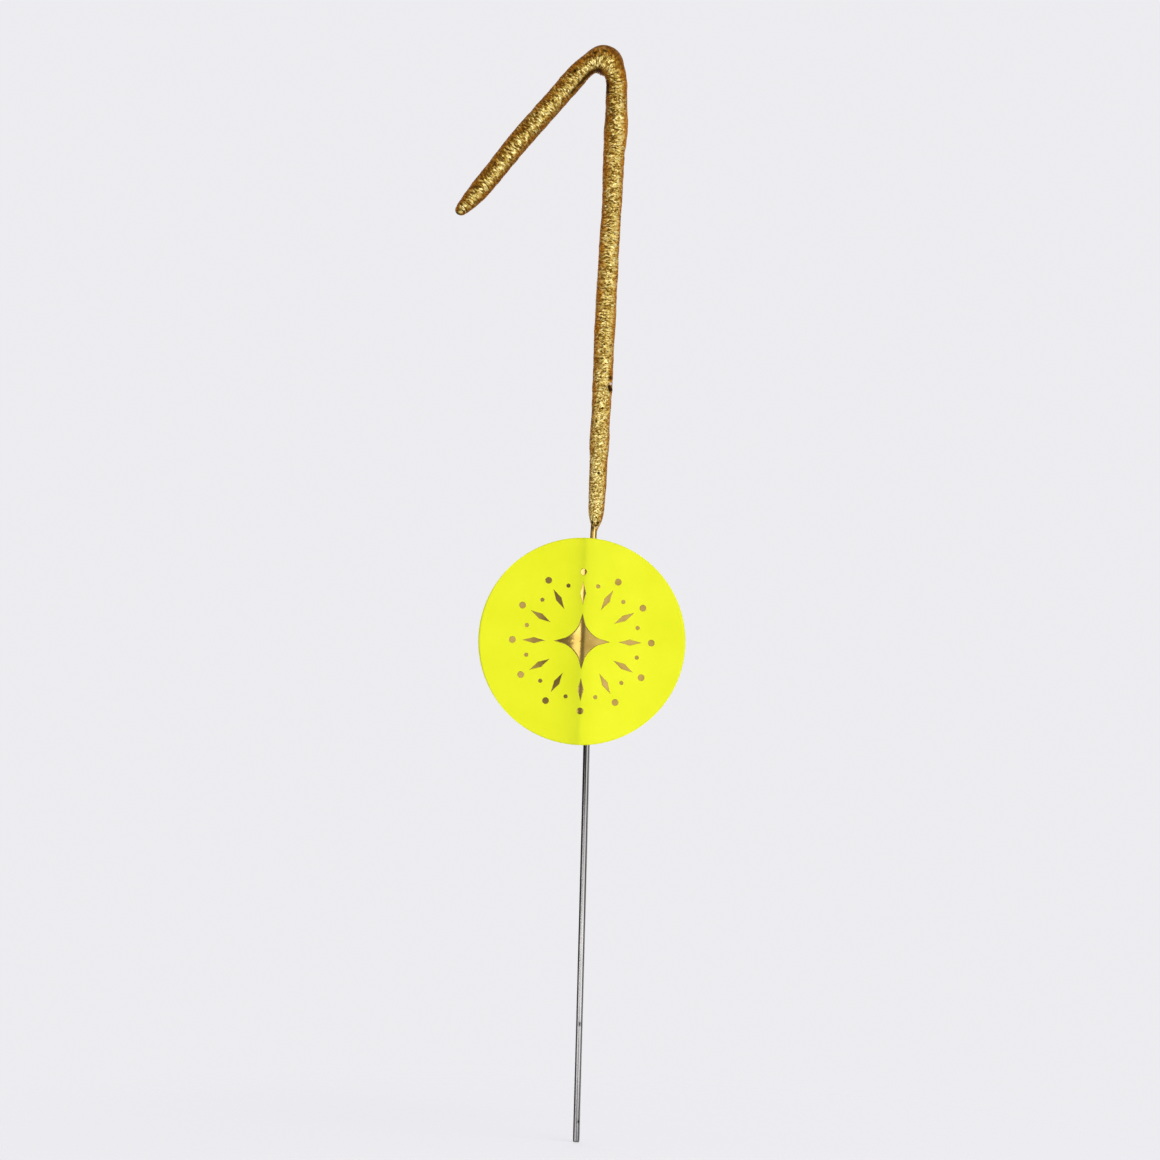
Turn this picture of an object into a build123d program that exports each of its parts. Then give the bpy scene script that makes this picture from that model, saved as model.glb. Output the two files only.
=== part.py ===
from build123d import *
import os
from math import asin, atan2, cos, hypot, pi, radians, sin, tan

# A sparkler shaped as the numeral one. A bent steel wire is dipped head down in spark
# composition three times, each time less deep, and then painted gold. A round paper
# label is tented over the wire below the coat.
# The origin is the wire's lower end, +Z runs up the stem, the numeral lies in the XZ
# plane and its front faces -Y.

# Driving dimensions, in millimetres and degrees
overall_height = 180.0
wire_diameter = 1.1
wire_end_chamfer = 0.15
bare_stem = 64.6            # straight bare wire below the label
shaft_lean = 1.35           # lean of the coated shaft from the stem
flag_lean = 39.0            # lean of the short sloping arm from the stem
flag_length = 32.3          # from the end of the bend to the painted tip
crotch_radius = 0.4         # inside of the painted bend

first_dip_thickness = 0.98  # spark composition left by each dip
second_dip_thickness = 0.125
third_dip_thickness = 0.105
paint_thickness = 0.08
pooling = 1.55              # how many times thicker the composition is at the middle of the bend
second_edge_rise = 20.7     # from the coat's lower end up to the edge of the second dip
third_edge_drop = 18.3      # from the top of the numeral down to the edge of the third dip
feather_length = 2.6        # over which a dip's edge thins to nothing

tail_thickness = 0.72       # composition just above the coat's lower end
tail_shift = 0.2            # of the lower end off the wire's axis, along X
tail_taper_length = 12.0
tail_nose_length = 4.5
tail_root_depth = 1.0       # of the nose's root below the coat's lower end, inside the wire
tip_thickness = 0.33        # composition around the wire's upper end
tip_taper_length = 8.2
flag_bow = 0.2              # of the coat outwards at the middle of the flag

label_diameter = 34.0
label_shift = -1.2          # label's centre from the stem, along X
label_gap_below = 0.5       # from the straight stem's end up to the label
label_gap_above = 1.65      # from the label up to the coat's lower end
paper_thickness = 0.12
adhesive_thickness = 0.04
left_slope_run = 10.0       # from the wire to the foot of the tent's left slope
right_slope_run = 4.5
fold_radius = 3.0           # at the feet of the tent

# Steps that the round forms are made in
bend_steps = 10
nose_shares = (0.3, 0.65, 1)
tip_shares = (1, 0.6, 0.25)
cap_angles = (0, 40, 75)

# Radii of the composition after each dip, on the straight arms
wire_radius = wire_diameter / 2
first_radius = wire_radius + first_dip_thickness
second_radius = first_radius + second_dip_thickness
third_radius = second_radius + third_dip_thickness
tip_radius = wire_radius + tip_thickness
tail_root_radius = (wire_radius - tail_shift - paint_thickness) / 2


def pooled_radius(share):
    """Radius of the composition at a share of the bend, where the wet slurry pooled."""
    return wire_radius + (third_radius - wire_radius) * (1 + (pooling - 1) * sin(pi * share) ** 4)


# Heights along the stem
label_low = bare_stem + label_gap_below
label_height = label_low + label_diameter / 2
coat_start = label_low + label_diameter + label_gap_above
second_edge = coat_start + second_edge_rise
third_edge = overall_height - third_edge_drop

# The stem passes into the leaning shaft by one long arc, the bow
lean = radians(shaft_lean)
bow_tangent = (coat_start - bare_stem) / (1 + cos(lean))
bow_corner = Vector(0, 0, bare_stem + bow_tangent)
bow_radius = bow_tangent / tan(lean / 2)

# The bend turns the shaft back into the flag
flag_angle = radians(flag_lean)
bend_turn = 180 - (flag_lean - shaft_lean)
bend_radius = crotch_radius + pooled_radius(0.5) + paint_thickness
bend_shares = [step / bend_steps for step in range(bend_steps + 1)]


def bend_angle(share):
    """Angle of a section of the bend from the X axis, at a share counted from the shaft."""
    return radians(share * bend_turn) - lean


def bend_rise(share):
    """Height of a painted section's top above the bend's centre."""
    return (bend_radius + pooled_radius(share) + paint_thickness) * sin(bend_angle(share))


bend_height = overall_height - max(bend_rise(share) for share in bend_shares)
bend_x = (bend_height - bow_corner.Z) * tan(lean) - bend_radius / cos(lean)
bend_centre = Vector(bend_x, 0, bend_height)


def bend_plane(share):
    """Plane square to the wire at a share of the bend."""
    angle = bend_angle(share)
    outward = Vector(cos(angle), 0, sin(angle))
    along = Vector(-sin(angle), 0, cos(angle))
    return Plane(bend_centre + outward * bend_radius, x_dir=(0, 1, 0), z_dir=along)


shaft_end = bend_plane(0).origin
shaft_way = bend_plane(0).z_dir
flag_start = bend_plane(1).origin
flag_way = bend_plane(1).z_dir
flag_outward = Vector(-cos(flag_angle), 0, sin(flag_angle))


def shaft_plane(height, shift=0):
    """Plane square to the shaft at a height, moved off the wire's axis along X."""
    on_axis = shaft_end - shaft_way * ((shaft_end.Z - height) / cos(lean))
    return Plane(on_axis + Vector(shift, 0, 0), x_dir=(0, 1, 0), z_dir=shaft_way)


def flag_plane(run):
    """Plane square to the flag at a run from the bend, moved outwards by the flag's bow."""
    share = run / flag_length
    bow = flag_outward * (flag_bow * 4 * share * (1 - share))
    return Plane(flag_start + flag_way * run + bow, x_dir=(0, 1, 0), z_dir=flag_way)


def along_flag(height):
    """Run from the bend down the flag to a height."""
    return (flag_start.Z - height) / cos(flag_angle)


# The wire ends inside the tip of the flag, at the centre of the tip's round cap
wire_run = flag_length - tip_radius - paint_thickness
bend_tangent = bend_radius * tan(radians(bend_turn) / 2)
bend_corner = shaft_end + shaft_way * bend_tangent
wire_end = flag_start + flag_way * wire_run

# Core wire: stem, bow, shaft, bend and flag in one length
with BuildPart() as core_wire:
    with BuildLine() as wire_line:
        FilletPolyline((0, 0, 0), bow_corner, bend_corner, wire_end, radius=[bow_radius, bend_radius])
    with BuildSketch(Plane.XY):
        Circle(wire_radius)
    sweep(path=wire_line.line)
    chamfer(core_wire.edges().group_by(Axis.Z)[0], wire_end_chamfer)
core_wire.part.label = "core_wire"


def shaft_sections():
    """Sections of the composition up the shaft: a nose, a taper and the edges of two dips."""
    yield shaft_plane(coat_start - tail_root_depth, tail_shift), tail_root_radius
    for share in nose_shares:
        thickness = tail_thickness * (1 - (1 - share) ** 2)
        yield shaft_plane(coat_start + share * tail_nose_length, tail_shift), wire_radius + thickness
    yield shaft_plane(coat_start + tail_nose_length + tail_taper_length), first_radius
    yield shaft_plane(second_edge), first_radius
    yield shaft_plane(second_edge + feather_length), second_radius
    yield shaft_plane(third_edge), second_radius
    yield shaft_plane(third_edge + feather_length), third_radius


def bend_sections():
    """Sections of the composition round the bend."""
    for share in bend_shares:
        yield bend_plane(share), pooled_radius(share)


def flag_sections(skin):
    """Sections of the composition down the flag: the third dip's edge, a taper and a round cap."""
    yield flag_plane(along_flag(third_edge + feather_length)), third_radius
    yield flag_plane(along_flag(third_edge)), second_radius
    for share in tip_shares:
        drop = (second_radius - tip_radius) * (1 - share) ** 2
        yield flag_plane(wire_run - share * tip_taper_length), second_radius - drop
    for angle in cap_angles:
        reach = (tip_radius + skin) * sin(radians(angle))
        yield flag_plane(wire_run + reach), (tip_radius + skin) * cos(radians(angle)) - skin


def coat_form(skin):
    """Whole coat from its lower end to the flag's tip, grown by a skin."""
    with BuildPart() as coat:
        for plane, radius in (*shaft_sections(), *bend_sections(), *flag_sections(skin)):
            with BuildSketch(plane):
                Circle(radius + skin)
        loft(ruled=True)
    return coat.part


bare_coat = coat_form(0)
painted_coat = coat_form(paint_thickness)

# Composition: the grey mass that burns, with the steps that its three dips left
with BuildPart() as composition:
    add(bare_coat)
    add(core_wire.part, mode=Mode.SUBTRACT)
composition.part.label = "composition"

# Gold paint: a thin skin over the composition
with BuildPart() as gold_paint:
    add(painted_coat)
    add(bare_coat, mode=Mode.SUBTRACT)
    add(core_wire.part, mode=Mode.SUBTRACT)
gold_paint.part.label = "gold_paint"


def tent_points(stand_off):
    """Tent line at a stand-off from the wire: flat wings, two slopes that touch the wire."""
    wing_y = wire_radius - stand_off
    ridge_radius = wire_radius + stand_off
    left_tilt = asin(ridge_radius / hypot(left_slope_run, wing_y)) + atan2(wing_y, left_slope_run)
    right_tilt = asin(ridge_radius / hypot(right_slope_run, wing_y)) + atan2(wing_y, right_slope_run)
    wing_end = label_diameter / 2 + abs(label_shift) + fold_radius
    foot_span = left_slope_run + right_slope_run
    rise = foot_span / (1 / tan(left_tilt) + 1 / tan(right_tilt))
    ridge = (rise / tan(left_tilt) - left_slope_run, wing_y - rise)
    left_foot = (-left_slope_run, wing_y)
    right_foot = (right_slope_run, wing_y)
    return [(-wing_end, wing_y), left_foot, ridge, right_foot, (wing_end, wing_y)]


def tent_sheet(inner, outer):
    """Round tented sheet between two stand-offs, carried along the bow of the wire."""
    with BuildPart() as sheet:
        with BuildSketch(Plane.XY.offset(bare_stem)):
            with BuildLine():
                low = tent_points(inner)
                high = tent_points(outer)
                FilletPolyline(*low, radius=[fold_radius - inner, wire_radius + inner, fold_radius - inner])
                FilletPolyline(*high, radius=[fold_radius - outer, wire_radius + outer, fold_radius - outer])
                Line(low[0], high[0])
                Line(low[-1], high[-1])
            make_face()
        revolve(axis=Axis((bow_radius, 0, bare_stem), (0, 1, 0)), revolution_arc=shaft_lean)
        with BuildSketch(Plane.XZ):
            with Locations((label_shift, label_height)):
                Circle(label_diameter / 2)
        extrude(amount=label_diameter / 2, both=True, mode=Mode.INTERSECT)
    return sheet.part


film_sheet = tent_sheet(0, adhesive_thickness)
paper_sheet = tent_sheet(adhesive_thickness, adhesive_thickness + paper_thickness)

# Adhesive film on the label's back, which grips the wire along its front
with BuildPart() as label_adhesive:
    add(film_sheet)
label_adhesive.part.label = "label_adhesive"

# Round paper label
with BuildPart() as label:
    add(paper_sheet)
label.part.label = "label"

os.makedirs("parts", exist_ok=True)
export_step(core_wire.part, "parts/core_wire.step")
export_step(composition.part, "parts/composition.step")
export_step(gold_paint.part, "parts/gold_paint.step")
export_step(label_adhesive.part, "parts/label_adhesive.step")
export_step(label.part, "parts/label.step")

for piece in (core_wire, composition, gold_paint, label_adhesive, label):
    box = piece.part.bounding_box()
    print(piece.part.label, len(piece.part.solids()), round(piece.part.volume, 2), box.min, box.max)
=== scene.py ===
# %% [markdown]
# # A sparkler shaped as the numeral one
#
# A dipped sparkler is a steel wire with a burning mass around its upper part. This one is bent into
# a numeral, painted gold, and carries a round paper label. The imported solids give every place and
# size, so the lesson starts by loading them as a frame. Each piece is then worked out as a grid of
# points with numpy and put where the frame says.

# %% Load the frame
import bpy
import numpy as np
from mathutils import Matrix, Vector


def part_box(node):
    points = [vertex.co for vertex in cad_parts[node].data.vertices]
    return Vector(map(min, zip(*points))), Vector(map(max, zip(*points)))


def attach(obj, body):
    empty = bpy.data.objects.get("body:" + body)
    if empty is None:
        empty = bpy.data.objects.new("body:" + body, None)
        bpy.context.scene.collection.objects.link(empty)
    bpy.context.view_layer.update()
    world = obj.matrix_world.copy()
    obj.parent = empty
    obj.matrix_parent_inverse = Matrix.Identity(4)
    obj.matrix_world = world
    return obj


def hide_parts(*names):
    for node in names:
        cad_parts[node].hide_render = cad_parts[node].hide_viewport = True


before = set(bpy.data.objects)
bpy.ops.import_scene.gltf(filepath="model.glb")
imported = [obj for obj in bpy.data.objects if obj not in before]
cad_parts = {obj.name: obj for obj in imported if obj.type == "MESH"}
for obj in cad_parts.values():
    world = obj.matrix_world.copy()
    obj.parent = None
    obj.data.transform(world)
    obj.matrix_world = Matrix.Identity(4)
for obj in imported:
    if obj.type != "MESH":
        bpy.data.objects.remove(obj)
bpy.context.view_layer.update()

MM = 0.001
print("nodes:", sorted(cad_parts))

# %% [markdown]
# ## Sizes taken from the frame
#
# The wire's radius, the label's circle and the glue's thickness are read from the boxes of the
# solids, so the meshes keep fitting when a solid changes. Sizes that a box can't give, such as the
# angles of the bends, are written here in millimetres and degrees, as a maker would note them.

# %% Sizes
def box_mm(node):
    """Lowest and highest corner of a solid, in millimetres."""
    low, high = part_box(node)
    return np.array(low) / MM, np.array(high) / MM


wire_low, wire_high = box_mm("core_wire")
label_low, label_high = box_mm("label")
_, film_high = box_mm("label_adhesive")

WIRE_RADIUS = (wire_high[1] - wire_low[1]) / 2
LABEL_RADIUS = (label_high[0] - label_low[0]) / 2
LABEL_X, LABEL_Z = (label_low + label_high)[[0, 2]] / 2
FILM_THICKNESS = film_high[1] - label_high[1]
PAPER_THICKNESS = 0.12
PAINT_THICKNESS = 0.08

STEM_LENGTH = 64.6
COAT_GAP = 1.65
BOW_RISE = label_high[2] + COAT_GAP - STEM_LENGTH
SHAFT_LEAN = np.radians(1.35)
SHAFT_LENGTH = 73.94
BEND_RADIUS = 2.9055
BEND_TURN = np.radians(142.35)
FLAG_LENGTH = 32.3
print("wire radius", round(WIRE_RADIUS, 3), "label radius", round(LABEL_RADIUS, 3))

# %% [markdown]
# ## The line that the wire follows
#
# The real wire is one length of steel: a straight stem, a long slow bow, a straight shaft, one tight
# bend and a short straight flag. A drawn curve could trace it, but a list of runs and turns is closer
# to what a bending machine is told. Every run with a constant turn has an exact chord, so one formula
# gives the point and the direction at any length along the wire.

# %% The bent line
BOW_LENGTH = BOW_RISE / np.sin(SHAFT_LEAN) * SHAFT_LEAN
BEND_LENGTH = BEND_RADIUS * BEND_TURN
RUNS = np.array([STEM_LENGTH, BOW_LENGTH, SHAFT_LENGTH, BEND_LENGTH, FLAG_LENGTH])
TURNS = np.array([0, SHAFT_LEAN, 0, -BEND_TURN, 0])
STARTS = np.concatenate([[0], np.cumsum(RUNS)[:-1]])
HEADINGS = np.concatenate([[0], np.cumsum(TURNS)[:-1]])
COAT_START, BEND_START, FLAG_START = STARTS[2:]
COAT_END = FLAG_START + FLAG_LENGTH


def bent_line(length):
    """Points and outward sides of the line at lengths from the stem's lower end.

    In each run the part already passed, c, is the length clipped to the run. With k the turn for
    each millimetre, the run adds a chord of c * sin(kc/2) / (kc/2) in the direction at its middle.
    The outward side is square to the heading, away from the bend's centre.
    """
    passed = np.clip(length[:, None] - STARTS, 0, RUNS)
    half = TURNS / RUNS * passed / 2
    chord = passed * np.sinc(half / np.pi)
    middle = HEADINGS + half
    heading = 2 * half.sum(1)
    flat = np.zeros_like(length)
    points = np.stack([(chord * np.sin(middle)).sum(1), flat, (chord * np.cos(middle)).sum(1)], 1)
    outward = np.stack([np.cos(heading), flat, -np.sin(heading)], 1)
    return points, outward


ends, _ = bent_line(np.array([COAT_START, BEND_START, FLAG_START, COAT_END]))
print("coat, bend, flag and tip at, mm:", ends[:, [0, 2]].round(2).tolist())

# %% [markdown]
# ## Curves through measured places
#
# Widths and shades are noted at a few places along the object and are needed everywhere. A drawn
# curve could hold them, but a table of knots is easier to read and to change. Forms get a smooth
# curve through their knots. Shares of paint and shade get straight lines, because a smooth curve
# swings past its knots where they lie unevenly.

# %% Knots
def knots(*groups):
    """Rows of (place, value), from groups of a start and the (offset, value) pairs counted from it."""
    return [(start + offset, value) for start, *pairs in groups for offset, value in pairs]


def smooth_through(table, at):
    """Cubic curve through (place, value) knots, with the slope at each knot taken from its neighbours.

    Between two knots it is the one cubic that has the values and the slopes of both.
    """
    place, value = np.array(table, float).T
    slope = np.gradient(value, place)
    i = np.clip(np.searchsorted(place, at) - 1, 0, len(place) - 2)
    span = place[i + 1] - place[i]
    f = np.clip((at - place[i]) / span, 0, 1)
    start = (1 + 2 * f) * (1 - f) ** 2 * value[i] + f * (1 - f) ** 2 * span * slope[i]
    end = f**2 * (3 - 2 * f) * value[i + 1] + f**2 * (f - 1) * span * slope[i + 1]
    return start + end


def straight_through(table, at):
    """Straight lines through (place, value) knots, level before the first and after the last."""
    place, value = np.array(table, float).T
    return np.interp(at, place, value)


print("half way from 1 to 3:", smooth_through(knots((0, (0, 1), (2, 3))), 1.0))

# %% [markdown]
# ## Tubes on the line
#
# The wire, the burning mass and the paint are all tubes on that line. A curve with a bevel would be
# quick, but it can't be thick here and thin there. So the tube is a grid: one parameter runs along
# the line, the other around it, and each ring gets its own radius and its own small drift to the
# side. The last column joins the first, and a fan of triangles closes each end.

# %% Tube helpers
def around(count):
    """Angles evenly spaced around a ring: 0 is outward, a quarter turn further is the back."""
    return np.arange(count) * 2 * np.pi / count


def tube_points(length, radius, drift, angles):
    """Grid of points: line point + outward * (drift + radius cos a) + Y * radius sin a."""
    points, outward = bent_line(length)
    across = drift[:, None] + radius * np.cos(angles)
    grid = points[:, None] + across[..., None] * outward[:, None]
    grid[..., 1] += radius * np.sin(angles)
    return grid


def tube_faces(rings, columns, start=0):
    """Quads between neighbouring rings, and a fan from each end ring to a pole after the grid.

    Points are counted from a start, so that several tubes can share one mesh.
    """
    first = np.arange(columns)
    turn = np.roll(first, -1)
    low = first + columns * np.arange(rings - 1)[:, None]
    beside = low[:, turn]
    quads = np.stack([low, beside, beside + columns, low + columns], -1).reshape(-1, 4)
    last = first + (rings - 1) * columns
    pole = rings * columns
    low_fan = np.stack([first[turn], first, np.full(columns, pole)], 1)
    high_fan = np.stack([last, last[turn], np.full(columns, pole + 1)], 1)
    return sum(((part + start).tolist() for part in (quads, low_fan, high_fan)), [])


def with_poles(grid):
    """Points or values of a grid as one list, followed by the means of its first and last ring."""
    return np.concatenate([grid.reshape(-1, *grid.shape[2:]), grid[:1].mean(1), grid[-1:].mean(1)])


print("faces of a tube with 3 rings and 8 columns:", len(tube_faces(3, 8)))

# %% [markdown]
# ## From points to a piece
#
# A piece is a mesh object with its place in its vertices, so the object itself stays at the origin.
# It rides on the body that all the solids belong to, and hides the solid that it stands for. Numbers
# that differ from point to point, such as how thin the paint is, go into the mesh as attributes,
# which the materials read later.

# %% Piece helper
def place_object(name, data):
    """Object for a mesh, lamp or camera, linked into the scene at the origin."""
    thing = bpy.data.objects.new(name, data)
    bpy.context.scene.collection.objects.link(thing)
    return thing


def make_piece(name, points, faces, node=None, attributes=None):
    """Smooth mesh object from points in millimetres, with its attributes, riding on the root body."""
    mesh = bpy.data.meshes.new(name)
    mesh.from_pydata((points * MM).tolist(), [], faces)
    mesh.shade_smooth()
    for key, values in (attributes or {}).items():
        kind, field = ("FLOAT", "value") if values.ndim == 1 else ("FLOAT_VECTOR", "vector")
        layer = mesh.attributes.new(key, kind, "POINT")
        layer.data.foreach_set(field, values.ravel().astype(np.float32))
    piece = place_object(name, mesh)
    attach(piece, "root")
    if node:
        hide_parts(node)
    triangles = len(mesh.loops) - 2 * len(mesh.polygons)
    print(name, len(points), "points", triangles, "triangles")
    return piece


# %% [markdown]
# ## Painted reflections and nicks on the bare wire
#
# The core is drawn steel, and handling leaves nicks. Its bright and dark lines along it are painted
# reflections: colour that stands in for what the polished wire mirrors. The lines could be a stretched
# noise in the material, but here a few lines with known places are wanted. So each point gets a value
# of painted reflection: a sum of narrow bell curves over the angle around the wire, which wander and
# change in strength along it.

# %% Painted reflections and nicks
REFLECTION_PLACES = (12, STEM_LENGTH / 2, STEM_LENGTH - 7, STEM_LENGTH, COAT_START - 1.5)
# Painted reflection lines: angle, width, and strength at each of the five places.
REFLECTION_LINES = ((-56, 17, 1, 1, 1, 1, 0.4), (-36, 19, 0.35, 0.5, 1, 1, 0.5),
           (-12, 13, 0, 0.1, 0.85, 1, 0.65), (2, 8, 0.75, 0.3, 0.4, 0.4, 0.3),
           (38, 16, 1, 1, 1, 0.9, 0.9), (120, 24, 0.9, 0.9, 0.8, 0.8, 0.6),
           (-122, 24, 0.8, 0.8, 0.9, 0.9, 0.6), (176, 7, 0.5, 0.5, 0.5, 0.5, 0.2),
           (12, 22, 0.25, 0.28, 0.28, 0.3, 0))
REFLECTION_WANDER = 4
WANDER_SINE = (9, 2.3, 1.7)
REFLECTION_FADE = 0.1
FADE_SINE = (5, 1.9, 2.6)
NICKS = ((19.4, 4, 0.22, 1), (3.4, 38, 0.2, 1), (41.0, -60, 0.18, 1), (52.5, 120, 0.2, 1),
         (100.74, -20, 0.26, 1))


def angle_past(angles, centre):
    """Degrees past a centre towards the right side, where 0 is the front, within half a turn."""
    return (np.degrees(angles) + 90 - centre + 180) % 360 - 180


def slow_sine(length, number, run, longer, shift):
    """Sine along the wire, whose run and shift grow with the number of the line."""
    return np.sin(length / (run + longer * number) + shift * number)


def reflection_values(length, angles):
    """Darkness of the painted reflection lines: bell curves over the angle, each wandering by a slow
    sine.

    A line's strength passes evenly between its values at five places: low on the stem, half way
    up, near the label, at the label and above it. Another slow sine fades it a little.
    """
    total = np.zeros((len(length), len(angles)))
    for number, (centre, width, *strengths) in enumerate(REFLECTION_LINES):
        wander = REFLECTION_WANDER * slow_sine(length, number, *WANDER_SINE)
        fade = 1 - REFLECTION_FADE + REFLECTION_FADE * slow_sine(length, number, *FADE_SINE)
        strength = fade * np.interp(length, REFLECTION_PLACES, strengths)
        away = angle_past(angles, centre + wander[:, None])
        total += strength[:, None] * np.exp(-((away / width) ** 2))
    return total


def spots(along, angles, radius, places, stretch=1):
    """Sum of bell curves at (place along, angle from the front, reach, strength), at most 1.

    Each falls off with the distance along, over the stretch, and around, in shares of its reach.
    """
    total = np.zeros((len(along), len(angles)))
    for place, centre, reach, strength in places:
        away = (along[:, None] - place) / stretch
        arc = np.radians(angle_past(angles, centre)) * radius
        total += strength * np.exp(-((away / reach) ** 2 + (arc / reach) ** 2))
    return np.clip(total, 0, 1)


# The drawing lines counted here are the painted reflections.
print("drawing lines:", len(REFLECTION_LINES), "nicks:", len(NICKS))

# %% [markdown]
# ## The wire
#
# The stem is cut to length, and the cutter leaves a small bevel at its lower end. A few rings close
# together make that bevel. The nicks are shallow dents, and darken the wire as the painted
# reflections do.

# %% Wire
WIRE_COLUMNS = 48
WIRE_RINGS = 620
WIRE_END = COAT_END - 1
CUT_BEVEL = 0.15
BEVEL_RINGS = 4
NICK_DEPTH = 0.035
WIRE_DRIFT = knots((0, (0, 0), (STEM_LENGTH, 0)), (COAT_START, (-1, -0.15), (12, 0)), (COAT_END, (0, 0)))

bevel_lengths = np.linspace(0, CUT_BEVEL, BEVEL_RINGS)
wire_lengths = np.concatenate([bevel_lengths, np.linspace(2 * CUT_BEVEL, WIRE_END, WIRE_RINGS)])
wire_angles = around(WIRE_COLUMNS)
nicks = spots(wire_lengths, wire_angles, WIRE_RADIUS, NICKS)
wire_round = WIRE_RADIUS - np.maximum(CUT_BEVEL - wire_lengths, 0)
wire_grid = tube_points(wire_lengths, wire_round[:, None] - NICK_DEPTH * nicks,
                        smooth_through(WIRE_DRIFT, wire_lengths), wire_angles)
# Painted reflections of the polished wire, with the nicks added.
wire_reflections_and_nicks = np.clip(reflection_values(wire_lengths, wire_angles) + nicks, 0, 1)
wire = make_piece("wire", with_poles(wire_grid), tube_faces(len(wire_lengths), WIRE_COLUMNS),
                  "core_wire", {"reflection_and_nicks": with_poles(wire_reflections_and_nicks)})

# %% [markdown]
# ## The form of the coat
#
# The mass was built up by dipping the wire head down, so the coat is thin at its lower end, steps up
# where a later dip stopped, and is thickest in the bend, where the slurry pooled. Rings with one
# steady radius would look turned on a lathe. The radius and the drift to the side are therefore two
# smooth curves through a few measured places. The pool is a pair of bell curves added to the radius,
# and three more bells pull the shoulders and the middle of the bend inwards.

# %% Coat form
POOLS = ((3.8, 2.0, 0.65), (3.6, 3.2, 0.1))
SHOULDERS = ((1.0, 1.35, -0.42), (6.35, 1.2, -0.3), (3.6, 3.2, -0.1))
FLAG_BOW = 0.2
NOSE_ROOT = 0.9
CAP_LENGTH = 0.8
TIP_GAP = 0.01
COAT_RADII = knots(
    (COAT_START, (-NOSE_ROOT, 0.2), (-0.1, 0.48), (0.3, 0.64), (0.7, 0.81), (1.4, 1.02), (3, 1.3),
     (5, 1.38), (8, 1.45), (11.2, 1.49), (14.5, 1.62), (17.8, 1.55), (21.2, 1.62), (27, 1.65),
     (32, 1.71)),
    (BEND_START, (-14, 1.75), (-10.5, 1.87), (-8.5, 1.92), (-5, 1.83), (-1.5, 1.76), (0, 1.81)),
    (FLAG_START, (0, 1.76), (5, 1.8), (18.5, 1.78), (22, 1.71), (25, 1.71), (27, 1.63), (29, 1.44),
     (30, 1.27), (31, 1.1)),
    (COAT_END, (-CAP_LENGTH, 0.94), (0, 0.86)))
COAT_DRIFT = knots(
    (COAT_START, (-1, 0.04), (1, 0.1), (12, 0.08)),
    (BEND_START, (-25, 0.1), (-19, 0.15), (-13.5, 0.11), (-10, 0.22), (-7, 0.16), (-3.6, 0.05), (0, 0)),
    (FLAG_START, (-2.5, -0.05), (3, 0), (8, -0.06), (12.5, 0.05), (18, 0.05), (21.5, -0.08),
     (25, -0.09), (30, 0.01)),
    (COAT_END, (0, 0.24)))


def bend_bells(length, bells):
    """Sum of bell curves, each of (place from the start of the bend, reach, height)."""
    place, reach, height = np.array(bells).T
    away = (length[:, None] - BEND_START - place) / reach
    return (height * np.exp(-(away**2))).sum(1)


def coat_radius(length):
    """Painted radius: the measured curve and the pool's bells, ended by a quarter ellipse at the tip."""
    cap = np.clip((length - COAT_END) / CAP_LENGTH + 1, 0, 1)
    return (smooth_through(COAT_RADII, length) + bend_bells(length, POOLS)) * np.sqrt(1 - cap**2)


def coat_drift(length):
    """Drift outwards: the measured curve, the shoulders' bells, and a parabola that bows the flag."""
    share = np.clip((length - FLAG_START) / FLAG_LENGTH, 0, 1)
    bow = FLAG_BOW * 4 * share * (1 - share)
    return smooth_through(COAT_DRIFT, length) + bend_bells(length, SHOULDERS) + bow


def coat_lengths(rings):
    """Even steps along the coat. The last ring is a hair short of the tip, where a pole closes it."""
    return np.linspace(COAT_START - NOSE_ROOT, COAT_END - TIP_GAP, rings)


print("bend radius of the coat, mm:", coat_radius(np.array([BEND_START + BEND_LENGTH / 2])).round(2))

# %% [markdown]
# ## The burning mass
#
# Under the paint lies the grey mass of metal powder and binder. No pit is deep enough to show it, but
# whoever cuts the model open will look for it. It is the coat's own form, thinner by the paint and by
# the depth of the paint's relief, so the two never touch.

# %% Composition
CORE_COLUMNS = 64
CORE_RINGS = 520
CORE_TRIM = 4
CORE_LEAST = 0.05
RELIEF_DEPTH = 0.14
core_lengths = coat_lengths(CORE_RINGS)[:-CORE_TRIM]
core_round = np.maximum(coat_radius(core_lengths) - PAINT_THICKNESS - RELIEF_DEPTH, CORE_LEAST)
core_grid = tube_points(core_lengths, core_round[:, None], coat_drift(core_lengths),
                        around(CORE_COLUMNS))
composition = make_piece("composition", with_poles(core_grid), tube_faces(len(core_grid), CORE_COLUMNS),
                         "composition")

# %% [markdown]
# ## The gold coat
#
# The paint is full of metal flakes over a gritty mass, so its surface has slow lumps, dimples and
# grains. Bump in the material alone would leave the outline smooth, so the relief moves the points.
# A Displace modifier with a noise could do that. A sum of plain waves in random directions does it
# here, with one wavelength for each kind of grain and a seed that keeps it the same every time.

# %% Random relief
def ripple(points, wavelength, seed, waves=48):
    """Random relief of unit spread: a sum of cosines of one wavelength in random directions."""
    rng = np.random.default_rng(seed)
    ways = rng.normal(size=(waves, 3))
    ways *= 2 * np.pi / wavelength / np.linalg.norm(ways, axis=1, keepdims=True)
    phases = rng.uniform(0, 2 * np.pi, waves)
    return np.cos(points @ ways.T + phases).sum(-1) * np.sqrt(2 / waves)


print("spread of a ripple:", ripple(core_grid, 0.45, seed=1).std().round(2))

# %% [markdown]
# ### The weave
#
# Fine streaks cross the arms, left by the slurry as it drained. They come from a second set of
# places, the weave: each ring is drawn together there, so a round grain in the weave is long on the
# coat. A slow ripple lets the streaks sway.

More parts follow.
